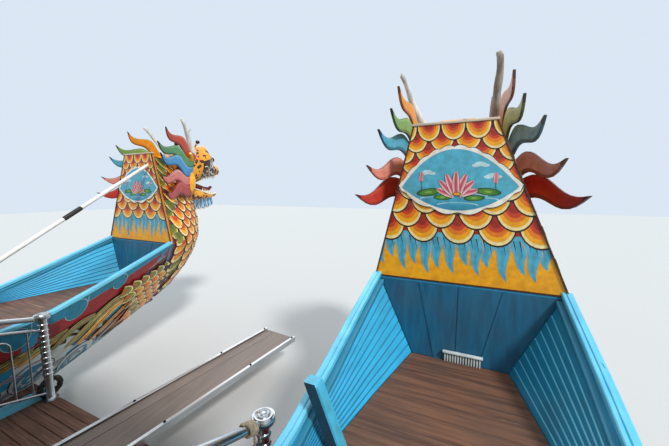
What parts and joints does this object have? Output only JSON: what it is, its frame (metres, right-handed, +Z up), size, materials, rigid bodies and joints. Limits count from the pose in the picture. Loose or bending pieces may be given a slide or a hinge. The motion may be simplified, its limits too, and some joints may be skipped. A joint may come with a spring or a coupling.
{
  "type": "twin-hulled dragon boat",
  "caption": "Wooden river boat with dragon-headed twin hulls under one deck and cabin, painted back boards, gangplank, rudders and propellers.",
  "frame": {"origin": "amidships on the boat's centreline at the waterline", "axes": "+Y forward to the bows, +X to starboard, +Z up"},
  "size_m": [6.86, 16.38, 5.0712],
  "materials": {
    "teal_paint": "gloss oil paint, worn",
    "plywood": "bare worn plywood",
    "cyan_paint": "gloss oil paint, worn",
    "orange_paint": "hand-painted ornament",
    "scale_paint": "hand-painted scales",
    "head_paint": "hand-painted spots",
    "bare_wood": "weathered grey",
    "bronze": "cast bronze",
    "blue_frame": "matt blue paint",
    "engine_paint": "engine enamel",
    "deck_paint": "deck paint",
    "stainless": "polished tube",
    "cream_paint": "satin paint",
    "red_paint": "satin paint",
    "bench_wood": "varnish",
    "planking": "weathered planks",
    "white_pipe": "galvanised and painted",
    "tile_paint": "matt tile red"
  },
  "bodies": {
    "boat": {"hull_port": "teal_paint", "well_floor_port": "plywood", "gunwale_cap_port": "cyan_paint", "back_board_port": "orange_paint", "neck_port": "scale_paint", "tail_port": "scale_paint", "head_port": "head_paint", "jaw_port": "head_paint", "horn_port_port_hull": "bare_wood", "horn_starboard_port_hull": "bare_wood", "engine_port": "engine_paint", "platform_rail_port": "stainless", "cabin_wall_port": "cream_paint", "bench_port": "bench_wood", "hull_starboard": "teal_paint", "well_floor_starboard": "plywood", "gunwale_cap_starboard": "cyan_paint", "back_board_starboard": "orange_paint", "neck_starboard": "scale_paint", "tail_starboard": "scale_paint", "head_starboard": "head_paint", "jaw_starboard": "head_paint", "horn_port_starboard_hull": "bare_wood", "horn_starboard_starboard_hull": "bare_wood", "engine_starboard": "engine_paint", "platform_rail_starboard": "stainless", "cabin_wall_starboard": "cream_paint", "bench_starboard": "bench_wood", "cross_beam_rear": "blue_frame", "cross_beam_middle": "blue_frame", "cross_beam_front": "blue_frame", "platform_beam_rear": "blue_frame", "platform_beam_front": "blue_frame", "mooring_post": "blue_frame", "boarding_platform": "planking", "boarding_steps": "planking", "pipe_brace": "white_pipe", "cabin_deck": "deck_paint", "cabin_wall_front": "cream_paint", "cabin_wall_rear": "cream_paint", "roof_canopy": "cream_paint", "roof_upper_wall": "cream_paint", "roof_ridge": "red_paint", "roof_gable": "tile_paint"},
    "propeller_port": {"propeller_port": "bronze"},
    "rudder_port": {"rudder_port": "blue_frame"},
    "hatch_port": {"hatch_port": "deck_paint"},
    "door_front_port": {"door_front_port": "red_paint"},
    "propeller_starboard": {"propeller_starboard": "bronze"},
    "rudder_starboard": {"rudder_starboard": "blue_frame"},
    "hatch_starboard": {"hatch_starboard": "deck_paint"},
    "door_front_starboard": {"door_front_starboard": "red_paint"},
    "door_rear": {"door_rear": "red_paint"},
    "gangplank": {"gangplank": "planking"}
  },
  "joints": [
    {"name": "propeller_spin_port", "type": "hinge", "parent": "boat", "child": "propeller_port", "pos_m": [-2.55, -6.83, -0.27], "axis": [0, 1, 0], "continuous": true},
    {"name": "rudder_turn_port", "type": "hinge", "parent": "boat", "child": "rudder_port", "pos_m": [-2.55, -7.34, 0.15], "axis": [0, 0, 1], "range_deg": [-35, 35]},
    {"name": "hatch_lift_port", "type": "hinge", "parent": "boat", "child": "hatch_port", "pos_m": [-2.55, -5.3, 1.204], "axis": [-1, 0, 0], "range_deg": [0, 95]},
    {"name": "door_front_swing_port", "type": "hinge", "parent": "boat", "child": "door_front_port", "pos_m": [-0.668, 3.18, 2.29], "axis": [0, 0, -1], "range_deg": [0, 100]},
    {"name": "propeller_spin_starboard", "type": "hinge", "parent": "boat", "child": "propeller_starboard", "pos_m": [2.55, -7.15, -0.27], "axis": [0, 1, 0], "continuous": true},
    {"name": "rudder_turn_starboard", "type": "hinge", "parent": "boat", "child": "rudder_starboard", "pos_m": [2.55, -7.66, 0.15], "axis": [0, 0, 1], "range_deg": [-35, 35]},
    {"name": "hatch_lift_starboard", "type": "hinge", "parent": "boat", "child": "hatch_starboard", "pos_m": [2.55, -5.62, 1.204], "axis": [-1, 0, 0], "range_deg": [0, 95]},
    {"name": "door_front_swing_starboard", "type": "hinge", "parent": "boat", "child": "door_front_starboard", "pos_m": [0.668, 3.18, 2.29], "axis": [0, 0, 1], "range_deg": [0, 100]},
    {"name": "door_rear_swing", "type": "hinge", "parent": "boat", "child": "door_rear", "pos_m": [0.388, -4.58, 2.29], "axis": [0, 0, -1], "range_deg": [0, 100]},
    {"name": "gangplank_lift", "type": "hinge", "parent": "boat", "child": "gangplank", "pos_m": [-0.38, 4.12, 0.44], "axis": [0.9943, -0.1063, 0], "range_deg": [0, 60]}
  ]
}
